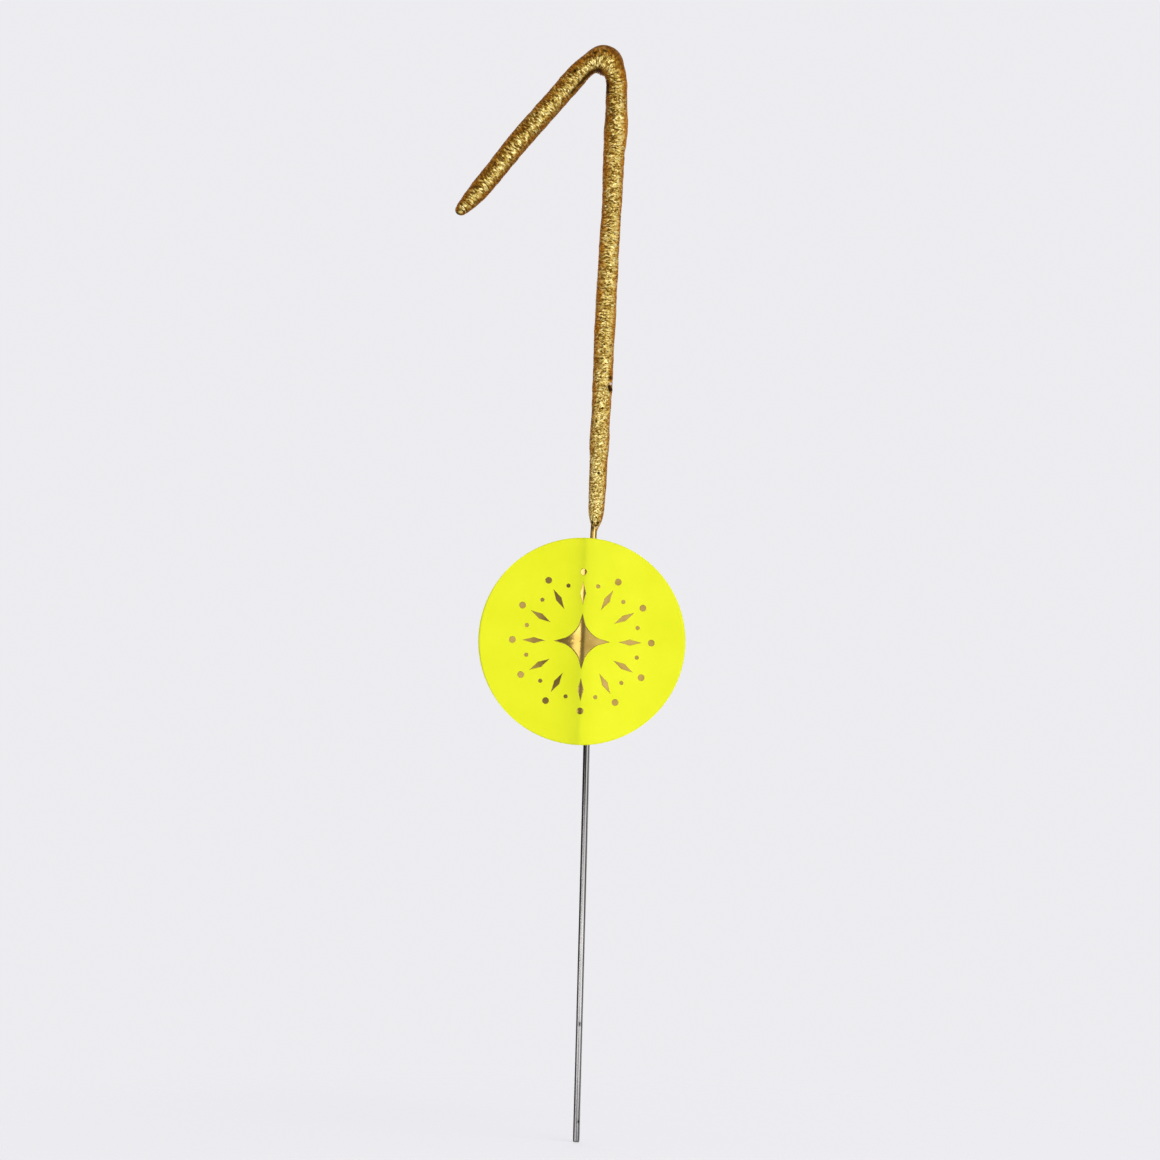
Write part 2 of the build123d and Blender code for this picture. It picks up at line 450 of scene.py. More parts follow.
# %% Weave
COAT_COLUMNS = 96
COAT_RINGS = 1030
WEAVE_SHARE = knots((COAT_START, (0, 0.7), (15, 0.6), (35, 0.4)), (BEND_START, (-4, 0.45)),
                    (FLAG_START, (0, 0.38)), (COAT_END, (0, 0.36)))
WEAVE_SWAY = 0.06
SWAY_WAVE = 1.7
coat_along = coat_lengths(COAT_RINGS)
coat_angles = around(COAT_COLUMNS)
coat_round = coat_radius(coat_along)[:, None]
coat_middle = coat_drift(coat_along)
plain_grid = tube_points(coat_along, coat_round, coat_middle, coat_angles)
ring_reach = coat_round * smooth_through(WEAVE_SHARE, coat_along)[:, None]
sway = WEAVE_SWAY * ripple(plain_grid, SWAY_WAVE, seed=17)
weave = np.stack([ring_reach * np.cos(coat_angles), ring_reach * np.sin(coat_angles),
                  coat_along[:, None] + sway], -1)
print("widest ring, mm:", coat_round.max().round(2), "in the weave:", ring_reach.max().round(2))

# %% [markdown]
# ### Marks with known places
#
# Pinholes are narrow pits, brown at the rim and dark at the bottom. On the shaft's right a pale grain
# has pushed out a lump, with a brown dent above it and a dark one below. Shade is painted into the
# colour inside the bend, on the bend's outer side, on the shaft just below it, under the flag and
# around the rim of the tip. Random noise would put such marks anywhere, so each is a bell curve at its
# own place, counted from the coat's lower end.

# %% Pits, grit and painted shade
PITS = ((0.2, -27, 0.2, 1), (0.38, 8, 0.15, 1), (0.84, 30, 0.21, 1), (0.86, -43, 0.21, 1),
        (4.2, 58, 0.2, 0.7), (6.7, -28, 0.17, 0.6), (8.1, -58, 0.2, 0.7), (9.0, 3, 0.22, 1),
        (15.3, -5, 0.16, 0.6), (17.4, -28, 0.21, 0.8), (19.6, 7, 0.18, 0.9), (22.7, 54, 0.36, 1),
        (24.7, 49, 0.42, 0.66), (23.2, 45, 0.3, 1), (23.7, 68, 0.17, 1), (27.9, 22, 0.18, 0.5),
        (71.4, -52, 0.24, 0.9), (72.5, -56, 0.28, 1), (78.0, 34, 0.24, 0.6), (79.2, 31, 0.3, 0.7),
        (83.2, 22, 0.27, 1), (92.5, 22, 0.22, 0.6), (103.7, 23, 0.22, 0.6), (15.2, 175, 0.2, 0.8),
        (40.3, 150, 0.2, 0.7), (57.2, -140, 0.18, 0.8), (95.0, 160, 0.2, 0.7))
GRITS = ((23.7, 52, 0.27, 1), (0.1, 10, 0.18, 0.7))
LUMPS = ((22.75, 66, 0.42, 0.9), (23.7, 66, 0.4, 0.6), (24.6, 62, 0.42, 1))
# Painted shade in and beside the bend and under the flag: place, angle, reach, strength.
SHADES = ((72.2, -62, 0.5, 1), (76.6, -62, 1.1, 0.56), (79.2, -52, 0.7, 0.95), (82.0, -52, 0.5, 1),
          (84.0, -47, 0.4, 1), (85.9, -45, 0.34, 0.9), (68.0, -50, 0.9, 0.3), (76.8, 62, 0.95, 0.36),
          (76.9, 42, 0.55, 0.26), (70.4, 52, 0.7, 0.22))
SHADE_STRETCH = 2.5
# Painted shade at the tip's rim and over the flag, most on its underside.
TIP_SHADE = 0.6
TIP_RIM = 0.5
FLAG_SHADE = knots((BEND_START, (0, 0)), (FLAG_START, (3, 1.4)), (COAT_END, (0, 1.3)))
TOP_SHADE = 0.02
UNDER_SHADE = 0.24
UNDER_START = 0.35
UNDER_RUN = 0.45


def coat_spots(places, stretch=1):
    """Spots on the coat, with their places counted from its lower end."""
    return spots(coat_along - COAT_START, coat_angles, coat_round, places, stretch)


def along_coat(table):
    """Straight lines through a table's knots, as a column with one value for each ring."""
    return straight_through(table, coat_along)[:, None]


pits = coat_spots(PITS)
grit = coat_spots(GRITS)
lumps = coat_spots(LUMPS)
# Painted shade: the whole flag a little, its underside more, and the rim of the tip.
under = TOP_SHADE + UNDER_SHADE * np.clip((-np.cos(coat_angles) - UNDER_START) / UNDER_RUN, 0, 1)
flag_shade = along_coat(FLAG_SHADE) * under
tip_shade = TIP_SHADE * np.clip((coat_along - COAT_END) / TIP_RIM + 1, 0, 1)[:, None]
shade = np.maximum(coat_spots(SHADES, SHADE_STRETCH), np.maximum(flag_shade, tip_shade))
print("share of points in pits:", (pits > 0.5).mean().round(4))

# %% [markdown]
# ### Painted shade at the sides
#
# Towards the two sides of every arm, and on top of the bend, the paint is smooth and orange brown.
# That orange brown is painted shade, where the light falls off round the arm. The share of shaded
# paint is the square of the distance from the middle of the flaky band, counted in half widths of the
# band, and two ripples make its border ragged.

# %% Painted shade at the sides
BAND_MIDDLE = knots(
    (COAT_START, (0, 0.15)), (BEND_START, (-40, 0.2), (-18, 0.25), (-3, 0.2), (1, 0), (5, -0.25)),
    (COAT_END, (0, -0.21)))
BAND_OUT = knots(
    (COAT_START, (0, 0.84)), (BEND_START, (-40, 0.72), (-20, 0.68), (-8, 0.6), (0, 0.6), (3.6, 0.72)),
    (FLAG_START, (-1, 0.85), (8, 0.96)), (COAT_END, (0, 0.9)))
BAND_IN = knots(
    (COAT_START, (0, 1.8), (20, 1.1)), (BEND_START, (-42, 0.97), (-6, 1.02), (0, 0.86), (3.6, 0.56)),
    (FLAG_START, (0, 0.57)), (COAT_END, (0, 0.6)))
SLOW_RAG = 0.2
SLOW_RAG_WAVE = 2.4
FINE_RAG = 0.3
FINE_RAG_WAVE = 0.6
RAG_LIMITS = (0.5, 1.8)
# Painted shade: orange brown towards the two sides of each arm and on top of the bend.
across = np.cos(coat_angles) - along_coat(BAND_MIDDLE)
band = np.where(across > 0, along_coat(BAND_OUT), along_coat(BAND_IN))
slow_rag = SLOW_RAG * ripple(plain_grid, SLOW_RAG_WAVE, seed=14)
ragged = 1 + slow_rag + FINE_RAG * ripple(weave, FINE_RAG_WAVE, seed=15)
edge_shade = np.clip((across / band) ** 2 * np.clip(ragged, *RAG_LIMITS), 0, 1)
print("share of thin paint:", edge_shade.mean().round(2))

# %% [markdown]
# ### Flecks and painted shade
#
# Where the flakes lie apart, the brown binder shows between them and the paint looks duller. The
# flecks here also carry painted shade: on the flag on its upper side beside the middle of the band and
# along its lower border, and on the shaft along one line to the left, darkest just below the bend.
# Each is a bell curve across the arm, times a strength that changes along it.

# %% Flecks and painted shade
FLECK_ALONG = knots((BEND_START, (-6, 0), (2, 0.6)), (FLAG_START, (0, 1)), (COAT_END, (0, 0.95)))
FLECK_BELLS = ((0.36, 0.36, 1.15), (-0.62, 0.2, 0.4))
# Flecks with painted shade along one line on the shaft's left, darkest just below the bend.
SHAFT_FLECK_SHADE = knots((COAT_START, (0, 0), (20, 0.1), (30, 0.55)),
             (BEND_START, (-12, 0.75), (-6, 1.3), (-1, 1.25), (2.5, 0)))
SHAFT_FLECK_MIDDLE = knots((BEND_START, (-14, -0.08), (-8, -0.34)), (COAT_END, (0, -0.38)))
SHAFT_FLECK_WIDTH = 0.34


def bell_across(centre, width):
    """Bell curve over the distance across the arm, which is the cosine of the angle."""
    return np.exp(-(((np.cos(coat_angles) - centre) / width) ** 2))


shaft_fleck_shade = along_coat(SHAFT_FLECK_SHADE) * bell_across(along_coat(SHAFT_FLECK_MIDDLE), SHAFT_FLECK_WIDTH)
flag_flecks = sum(weight * bell_across(centre, width) for centre, width, weight in FLECK_BELLS)
flecked_and_shaded = flag_flecks * along_coat(FLECK_ALONG) + shaft_fleck_shade
print("most flecks:", flecked_and_shaded.max().round(2))

# %% [markdown]
# ### The coat's mesh
#
# The parts of the relief are now added up. Paint at the sides, where shade is painted, lies smoother,
# and the relief dies out at both ends, so the coat meets the wire and the tip cleanly. What the
# material has to know about a point goes into the mesh as attributes.

# %% Gold coat
SLOW_RELIEF = ((0.025, 5.5, 11), (0.016, 1.9, 16))
GRAIN_HEIGHT = 0.011
GRAIN_WAVE = 0.45
STREAK_HEIGHT = 0.012
STREAK_WAVE = 0.38
# Share by which the relief is smoother where shade is painted at the sides.
EDGE_SMOOTH = 0.6
GRIT_HEIGHT = 0.2
PIT_DEPTH = 0.12
NOSE_FADE = 2
TIP_FADE = 0.6
# Share of the relief's crests and hollows that is painted light and shade.
RELIEF_LIGHT_SHARE = 0.6

grains = ripple(plain_grid, GRAIN_WAVE, seed=12)
streaks = ripple(weave, STREAK_WAVE, seed=13)
slow = sum(height * ripple(plain_grid, wave, seed) for height, wave, seed in SLOW_RELIEF)
quick = GRAIN_HEIGHT * grains + STREAK_HEIGHT * streaks
print("relief, mm:", (slow + quick).min().round(3), "to", (slow + quick).max().round(3))

nose_share = np.clip((coat_along - COAT_START) / NOSE_FADE, 0, 1)
body_share = nose_share * np.clip((COAT_END - coat_along) / TIP_FADE, 0, 1)
bumps = slow + quick * (1 - EDGE_SMOOTH * edge_shade) + GRIT_HEIGHT * (grit + lumps)
coat_relief = bumps * body_share[:, None] - PIT_DEPTH * pits
coat_grid = tube_points(coat_along, coat_round + coat_relief, coat_middle, coat_angles)
print("least paint over the mass, mm:", (coat_relief.min() + PAINT_THICKNESS + RELIEF_DEPTH).round(3))
# The relief's crests carry painted light and its hollows painted shade.
coat_marks = {"edge_shade": edge_shade, "pit": pits, "grit": grit, "shade": shade, "flecked_and_shaded": flecked_and_shaded,
              "relief_light_and_shade": RELIEF_LIGHT_SHARE * (grains + streaks), "weave": weave}
coat_values = {key: with_poles(values) for key, values in coat_marks.items()}
gold_coat = make_piece("gold_coat", with_poles(coat_grid), tube_faces(COAT_RINGS, COAT_COLUMNS),
                       "gold_paint", coat_values)

# %% [markdown]
# ## The tented label
#
# The label is a disc of thin paper that bridges the wire, so it stands up like a low tent. It could
# be cloth thrown over a rod, but a stiff sticker hardly drapes: one fold line and two slopes say it
# all. A height function gives the tent: level from the leaning fold to the wire, an even slope to the
# right, and a slope to the left that is steepest at the fold.

# %% Tent
WING_FRONT = label_high[1] - PAPER_THICKNESS
TENT_HEIGHT = WING_FRONT - label_low[1]
FOLD_SHIFT = knots((LABEL_Z, (-LABEL_RADIUS, -1.4), (0, -1.25), (LABEL_RADIUS, -0.9)))
FOLD_ROUND = 0.24
LEFT_RUN = 10.0
RIGHT_RUN = 8.0
RIGHT_ROUND = 0.5
STEEP_SHARE = 0.36
STEEP_RUN = knots((LABEL_Z, (-LABEL_RADIUS, 2.0), (0, 1.6), (LABEL_RADIUS, 1.0)))
WAVE_HEIGHT = 0.035
WAVE_LENGTH = 13


def wire_x(z):
    """Sideways place of the wire at a height, from the bow and the wire's drift."""
    points, _ = bent_line(z.ravel())
    return (points[:, 0] + smooth_through(WIRE_DRIFT, z.ravel())).reshape(z.shape)


def soft_side(distance, width):
    """Distance past a line, rounded at the line: width * log(1 + exp(distance / width))."""
    return width * np.logaddexp(0, distance / width)


def left_of_fold(x, z):
    """Distance to the left of the fold line, rounded at the line."""
    return soft_side(smooth_through(FOLD_SHIFT, z) - x, FOLD_ROUND)


def steepness(left, z):
    """Exponential that is 1 at the fold and dies out over a run that widens downwards."""
    return np.exp(-left / smooth_through(STEEP_RUN, z))


def tent_front(x, z):
    """Y of the paper's front: the wing's level less the tent's height.

    Left of the fold the height falls as a mix of a parabola and a steep exponential. Right of the
    wire it falls evenly, with rounded corners, and a slow ripple stands for paper that never lies
    quite flat.
    """
    left = left_of_fold(x, z)
    right = x - wire_x(z) - RIGHT_ROUND
    fall = soft_side(right, RIGHT_ROUND / 2) - soft_side(right - RIGHT_RUN, RIGHT_ROUND)
    gentle = np.clip(1 - left / LEFT_RUN, 0, 1) ** 2
    height = STEEP_SHARE * steepness(left, z) + (1 - STEEP_SHARE) * gentle - fall / RIGHT_RUN
    flat = np.stack([x, np.zeros_like(z), z], -1)
    wave = ripple(flat, WAVE_LENGTH, seed=21) * np.clip(1 - height, 0, 1)
    return WING_FRONT - TENT_HEIGHT * height + WAVE_HEIGHT * wave


print("tent height, mm:", round(TENT_HEIGHT, 2))

# %% [markdown]
# ### From the tent to a sheet
#
# A square grid is pressed into a disc, because rings around a centre would crowd their points there.
# The tent's height lifts it, a second grid lies one thickness behind, and a rim of quads closes the
# edge. Solidify could add the back, but the glue is made of the same two grids. Shade is painted along
# the fold, so each point gets a value of painted fold shade, which reaches further at the upper right.

# %% Sheet helpers
FOLD_SPACING = 0.35


def disc_grid(rows, columns, reach):
    """Square grid pressed into a disc: x = u sqrt(1 - v^2/2), z = v sqrt(1 - u^2/2).

    Columns are drawn together at the middle by a cubic, because the fold needs them there.
    """
    s = np.linspace(-1, 1, columns)
    u, v = np.meshgrid(FOLD_SPACING * s + (1 - FOLD_SPACING) * s**3, np.linspace(-1, 1, rows))
    x = LABEL_X + reach * u * np.sqrt(1 - v**2 / 2)
    z = LABEL_Z + reach * v * np.sqrt(1 - u**2 / 2)
    return x, z


def slab_faces(rows, columns):
    """Quads of a front grid, of a back grid behind it, and of the rim between their borders."""
    count = rows * columns
    index = np.arange(count).reshape(rows, columns)
    corner = index[:-1, :-1].ravel()
    front = np.stack([corner, corner + 1, corner + columns + 1, corner + columns], 1)
    border = np.concatenate([index[0, :-1], index[:-1, -1], index[-1, :0:-1], index[:0:-1, 0]])
    ahead = np.roll(border, -1)
    rim = np.stack([border, border + count, ahead + count, ahead], 1)
    return front.tolist() + (front[:, ::-1] + count).tolist() + rim.tolist()


def sheet_points(rows, columns, reach, front, thickness):
    """Front grid at a depth behind the paper's front, and a back grid one thickness further."""
    x, z = disc_grid(rows, columns, reach)
    near = np.stack([x, tent_front(x, z) + front, z], -1).reshape(-1, 3)
    return np.concatenate([near, near + [0, thickness, 0]])


print("faces of a sheet with 3 rows and 8 columns:", len(slab_faces(3, 8)))

# %% Label
LABEL_ROWS = 120
LABEL_COLUMNS = 200
SOFT_RUN = knots((LABEL_Z, (-LABEL_RADIUS, 0.8), (6, 2.0), (LABEL_RADIUS, 6.0)))
CREASE_SHARE = 0.55
CREASE_RUN = 0.3
label_x, label_z = disc_grid(LABEL_ROWS, LABEL_COLUMNS, LABEL_RADIUS)
# Painted shade along the fold: steep at its left, a narrow crease and a softer reach at its right.
fold_shade_left = steepness(left_of_fold(label_x, label_z), label_z)
right_of_fold = np.maximum(label_x - smooth_through(FOLD_SHIFT, label_z), 0)
crease = np.exp(-right_of_fold / CREASE_RUN)
soft_right = np.exp(-right_of_fold / straight_through(SOFT_RUN, label_z))
fold_shade_right = CREASE_SHARE * crease + (1 - CREASE_SHARE) * soft_right
fold_shade = np.tile((fold_shade_left * fold_shade_right).ravel(), 2)
label = make_piece("label", sheet_points(LABEL_ROWS, LABEL_COLUMNS, LABEL_RADIUS, 0, PAPER_THICKNESS),
                   slab_faces(LABEL_ROWS, LABEL_COLUMNS), "label", {"fold_shade": fold_shade})

# %% [markdown]
# ## The adhesive
#
# The label's back has a thin film of glue, which grips the wire and shows from behind as a faint
# gloss. It is the label's own surface again, moved back by the paper and cut a little smaller.

# %% Adhesive film
FILM_ROWS = 100
FILM_COLUMNS = 160
FILM_MARGIN = 0.15
film_points = sheet_points(FILM_ROWS, FILM_COLUMNS, LABEL_RADIUS - FILM_MARGIN,
                           PAPER_THICKNESS, FILM_THICKNESS)
film = make_piece("label_adhesive", film_points, slab_faces(FILM_ROWS, FILM_COLUMNS),
                  "label_adhesive")

# %% [markdown]
# ## Gold foil on the label
#
# The front carries a hot-pressed foil, and this label has a plain burst of light as its print: a
# star, rays and dots. Flat text or curves laid on top would float over the fold. Each mark is
# therefore a small lens of points, whose outline is the curve |x|^p + |z|^p = 1, and every point is
# laid on the paper by the same height function that shaped the label.

# %% Foil marks
FOIL_PROUD = 0.022
FOIL_SUNK = 0.012
FOIL_COLUMNS = 32
FOIL_SHARES = np.linspace(0.09, 1, 12)
RAY_COUNT = 12
ray_turns = around(RAY_COUNT)
between = ray_turns + np.pi / RAY_COUNT
FOIL_MARKS = ((0, 4.6, 4.6, 0.6, [0]), (7.9, 1.9, 0.5, 0.95, ray_turns),
              (11.4, 0.55, 0.55, 2, ray_turns), (9.4, 0.34, 0.34, 2, between))


def foil_mark(reach, turn, half_length, half_width, power):
    """One mark at a reach and turn from the label's centre, as a closed lens that follows the paper.

    The outline at angle a is (|cos a|^p + |sin a|^p)^(-1/p) times the half sizes, turned to point
    away from the centre. Rings grow to the outline on the front and shrink again on the back.
    """
    a = around(FOIL_COLUMNS)
    outline = (np.abs(np.cos(a)) ** power + np.abs(np.sin(a)) ** power) ** (-1 / power)
    shares = np.concatenate([FOIL_SHARES, FOIL_SHARES[::-1]])[:, None]
    out = reach + shares * outline * np.cos(a) * half_length
    side = shares * outline * np.sin(a) * half_width
    x = LABEL_X + out * np.sin(turn) + side * np.cos(turn)
    z = LABEL_Z + out * np.cos(turn) - side * np.sin(turn)
    lift = np.repeat([-FOIL_PROUD, FOIL_SUNK], len(FOIL_SHARES))[:, None]
    return with_poles(np.stack([x, tent_front(x, z) + lift, z], -1))


marks = [foil_mark(reach, turn, *form) for reach, *form, turns in FOIL_MARKS for turn in turns]
foil_faces = sum((tube_faces(2 * len(FOIL_SHARES), FOIL_COLUMNS, number * len(marks[0]))
                  for number in range(len(marks))), [])
foil = make_piece("foil_print", np.concatenate(marks), foil_faces)

# %% [markdown]
# ## Materials
#
# A material is a small graph of nodes, which could be drawn by hand in the editor. In a script one
# helper adds a node, sets its options and fills its inputs, with a value or with another node's
# output, so that each graph below reads from its source to its surface.

# %% Material helpers
def add(tree, kind, inputs=None, **options):
    """Node of a kind with options set, and inputs filled by value or linked from an output."""
    node = tree.nodes.new("ShaderNode" + kind)
    for key, value in options.items():
        setattr(node, key, value)
    for key, value in (inputs or {}).items():
        if isinstance(value, bpy.types.NodeSocket):
            tree.links.new(value, node.inputs[key])
        else:
            node.inputs[key].default_value = value
    return node


def new_material(name):
    """Empty node material, its tree, and the place on the object as its first output."""
    material = bpy.data.materials.new(name)
    material.use_nodes = True
    tree = material.node_tree
    tree.nodes.clear()
    return material, tree, add(tree, "TexCoord").outputs["Object"]


def finish_material(piece, material, tree, shader):
    """Links a shader to the surface and gives the material to the piece."""
    add(tree, "OutputMaterial", {"Surface": shader.outputs[0]})
    piece.data.materials.append(material)
    print(material.name, "on", piece.name, len(tree.nodes), "nodes")


def dress(piece, material, tree, inputs):
    """Finishes a material with one principled shader that has these inputs."""
    finish_material(piece, material, tree, add(tree, "BsdfPrincipled", inputs))


print("materials that came with the frame:", len(bpy.data.materials))

# %% [markdown]
# ### Patterns and colours
#
# Every finish here is mixed from the same few things: a noise, a number that the mesh holds at each
# point, a colour ramp, a mix of two colours and a bump. Each has a short helper, which returns the
# output that the next one links to.

# %% Pattern helpers
def noise(tree, place, scale, detail):
    """Noise between 0 and 1 at a place, where a larger scale is a finer noise."""
    return add(tree, "TexNoise", {"Vector": place, "Scale": scale, "Detail": detail}).outputs["Fac"]


def attribute(tree, name):
    """Number that the mesh holds at each point."""
    return add(tree, "Attribute", attribute_name=name).outputs["Fac"]


def spread(tree, value, low, high, to_low, to_high):
    """Value carried from one range to another, and held at the ends."""
    inputs = {"Value": value, "From Min": low, "From Max": high, "To Min": to_low, "To Max": to_high}
    return add(tree, "MapRange", inputs).outputs["Result"]


def ramp(tree, factor, stops):
    """Colour ramp through (place, colour) stops, and its colour output."""
    node = add(tree, "ValToRGB", {"Fac": factor})
    while len(node.color_ramp.elements) < len(stops):
        node.color_ramp.elements.new(0.5)
    for element, (place, colour) in zip(node.color_ramp.elements, stops):
        element.position = place
        element.color = (*colour, 1)
    return node.outputs["Color"]


def mixed(tree, factor, first, second):
    """Colour mixed by a factor from a first output to a second, or to a plain colour."""
    second = (*second, 1) if isinstance(second, tuple) else second
    return add(tree, "Mix", {0: factor, 6: first, 7: second}, data_type="RGBA").outputs[2]


def bumped(tree, height, strength, distance):
    """Normal bent by a height, for relief too fine for the mesh. The distance is in millimetres."""
    inputs = {"Height": height, "Strength": strength, "Distance": distance * MM}
    return add(tree, "Bump", inputs).outputs["Normal"]


held = [layer.name for layer in wire.data.attributes if layer.data_type == "FLOAT"]
print("numbers held at the wire's points:", held)

# %% [markdown]
# ## Steel
#
# Drawn wire is bright metal, and its dull dark lines are painted reflections. The values of painted
# reflection choose between a light and a nearly black steel, a noise that is stretched along the wire
# scratches it finely, and just below the coat some gold has run down and stained it. The stain's tones
# follow the same painted reflections.

# %% Steel material
SCRATCH_SCALE = (9000, 9000, 160)
# Near black of the painted reflection lines.
DARK_REFLECTION_TONE = (0.014, 0.013, 0.012)
STEEL_TONES = ((0.3, (0.32, 0.31, 0.305)), (0.62, (0.54, 0.53, 0.52)))
# Tones of the gold stain, ramped by the painted reflections from pale to near black.
GILT_TONES = ((0.0, (0.56, 0.48, 0.25)), (0.25, (0.34, 0.24, 0.07)), (0.5, (0.22, 0.135, 0.026)),
              (0.9, (0.06, 0.036, 0.01)), (1.0, (0.014, 0.006, 0.001)))
STAIN_START = (label_high[2] - 2) * MM
STAIN_RUN = 1.5 * MM


def drawn_steel():
    """Metal whose colour follows the painted reflections, fine scratches along the wire and a gold
    stain.
    """
    material, tree, place = new_material("drawn_steel")
    scratch_map = add(tree, "Mapping", {"Vector": place, "Scale": SCRATCH_SCALE})
    scratch = noise(tree, scratch_map.outputs[0], 1, 3)
    reflection_and_nicks = attribute(tree, "reflection_and_nicks")
    reflected_steel = mixed(tree, reflection_and_nicks, ramp(tree, scratch, STEEL_TONES), DARK_REFLECTION_TONE)
    height = add(tree, "SeparateXYZ", {"Vector": place}).outputs["Z"]
    stain = spread(tree, height, STAIN_START, STAIN_START + STAIN_RUN, 0, 1)
    colour = mixed(tree, stain, reflected_steel, ramp(tree, reflection_and_nicks, GILT_TONES))
    dress(wire, material, tree, {
        "Base Color": colour, "Metallic": 1.0, "Roughness": spread(tree, scratch, 0.3, 0.7, 0.2, 0.38),
        "Normal": bumped(tree, scratch, 0.12, 0.02), "Specular Tint": (0.4, 0.39, 0.38, 1)})


drawn_steel()

# %% [markdown]
# ## Gold paint
#
# Gold paint is flakes in a brown binder. Each flake lies at its own angle, so one flashes while the
# next is dark. A cell pattern on the weave gives every flake a random colour. Its red is the flake's
# tone, and all of it tilts the flake's normal. Crests of the relief are lighter and its hollows darker,
# which is painted light and shade, and the paint is darker where shade is painted at the sides and
# with the flecks.

# %% Flakes
FINE_SCALE = 4.0
PATCH_SCALE = 650


def reckon(tree, operation, first, second):
    """Result of one operation on two numbers, such as their sum."""
    return add(tree, "Math", {0: first, 1: second}, operation=operation).outputs[0]


def flake_tone(tree, place, woven, flake):
    """Sum of the flake's random number, a fine noise, slow patches, and painted light and shade: crests
    and hollows, the sides and the flecks.
    """
    tone = spread(tree, flake, 0, 1, 0.12, 0.84)
    for part in (spread(tree, noise(tree, woven, FINE_SCALE, 2), 0.3, 0.7, -0.2, 0.2),
                 spread(tree, noise(tree, place, PATCH_SCALE, 3), 0.3, 0.7, -0.07, 0.07),
                 spread(tree, attribute(tree, "relief_light_and_shade"), -3.0, 3.0, -0.24, 0.24),
                 spread(tree, attribute(tree, "edge_shade"), 0.15, 0.9, 0, -0.14),
                 spread(tree, attribute(tree, "flecked_and_shaded"), 0, 1, 0, -0.21)):
        tone = reckon(tree, "ADD", tone, part)
    return tone


def flake_normal(tree, random):
    """Surface normal plus the random colour, centred and scaled. Flakes tilt less where shade is painted
    at the sides.
    """
    normal = add(tree, "NewGeometry").outputs["Normal"]
    tilt = spread(tree, attribute(tree, "edge_shade"), 0, 1, 0.85, 0.2)
    centred = add(tree, "VectorMath", {0: random, 1: (0.5, 0.5, 0.5)}, operation="SUBTRACT").outputs[0]
    tilted = add(tree, "VectorMath", {0: centred, "Scale": tilt}, operation="SCALE").outputs[0]
    facet = add(tree, "VectorMath", {0: normal, 1: tilted}, operation="ADD").outputs[0]
    return add(tree, "VectorMath", {0: facet}, operation="NORMALIZE").outputs[0]


print("attributes on the coat:", sorted(coat_marks))

# %% [markdown]
# The lightest flakes are the most metallic, and the rest lie under binder, which shines less. Towards
# the sides the flakes fade into the orange brown binder, as painted shade. Dark flecks lie over all of
# it, more of them where the paint is flecked and shaded. The painted shade, pits with a brown rim and
# the pale grit come last.

# %% Gold paint material
FLAKE_SCALE = 5.2
FLECK_SCALE = 4.4
FLAKE_TONES = ((0.0, (0.2, 0.09, 0.008)), (0.25, (0.42, 0.25, 0.038)), (0.5, (0.66, 0.49, 0.135)),
               (0.75, (0.82, 0.675, 0.26)), (1.0, (0.93, 0.83, 0.43)))
# Orange brown binder, shown where shade is painted at the sides.
BINDER_TONES = ((0.0, (0.26, 0.093, 0.006)), (0.35, (0.44, 0.167, 0.012)), (0.75, (0.58, 0.268, 0.032)))
FLECK_TONE = (0.09, 0.034, 0.004)
# Dark brown of the painted shade.
SHADE_TONE = (0.032, 0.011, 0.001)
RIM_TONE = (0.065, 0.024, 0.002)
PIT_TONE = (0.018, 0.007, 0.001)
GRIT_TONE = (0.62, 0.5, 0.46)


def gold_paint():
    """Flakes mixed into binder by the share of painted shade at the sides, with the marks mixed over
    them in turn.
    """
    material, tree, place = new_material("gold_paint")
    woven = add(tree, "Attribute", attribute_name="weave").outputs["Vector"]
    random = add(tree, "TexVoronoi", {"Vector": woven, "Scale": FLAKE_SCALE}).outputs["Color"]
    flake = add(tree, "SeparateColor", {"Color": random}).outputs["Red"]
    tone = flake_tone(tree, place, woven, flake)
    share = spread(tree, attribute(tree, "edge_shade"), 0.2, 0.95, 0, 1)
    colour = mixed(tree, share, ramp(tree, tone, FLAKE_TONES), ramp(tree, tone, BINDER_TONES))
    more = spread(tree, attribute(tree, "flecked_and_shaded"), 0, 1, 0, 0.1)
    fleck = reckon(tree, "ADD", noise(tree, woven, FLECK_SCALE, 1), more)
    pit = attribute(tree, "pit")
    for value, low, high, most, mark in ((fleck, 0.58, 0.66, 0.8, FLECK_TONE),
                                         (attribute(tree, "shade"), 0, 0.8, 0.94, SHADE_TONE),
                                         (pit, 0.08, 0.4, 0.8, RIM_TONE),
                                         (pit, 0.35, 0.7, 1, PIT_TONE),
                                         (attribute(tree, "grit"), 0.3, 0.6, 1, GRIT_TONE)):
        colour = mixed(tree, spread(tree, value, low, high, 0, most), colour, mark)
    dress(gold_coat, material, tree, {
        "Base Color": colour, "Metallic": spread(tree, tone, 0.4, 0.9, 0.12, 0.55),
        "Roughness": spread(tree, flake, 0, 1, 0.55, 0.4), "Normal": flake_normal(tree, random),
        "Specular IOR Level": 0.08, "Specular Tint": (0.6, 0.36, 0.1, 1)})


gold_paint()

# %% [markdown]
# ## Burning mass
#
# The mass is a dull dark grey with tiny bright filings. A cell pattern cut off near its peak leaves
# only the filings.

# %% Composition material
FILING_SCALE = 4200
FILING_TONE = (0.4, 0.38, 0.36)
POWDER_SCALE = 2600
POWDER_TONES = ((0.3, (0.012, 0.01, 0.008)), (0.7, (0.055, 0.046, 0.038)))


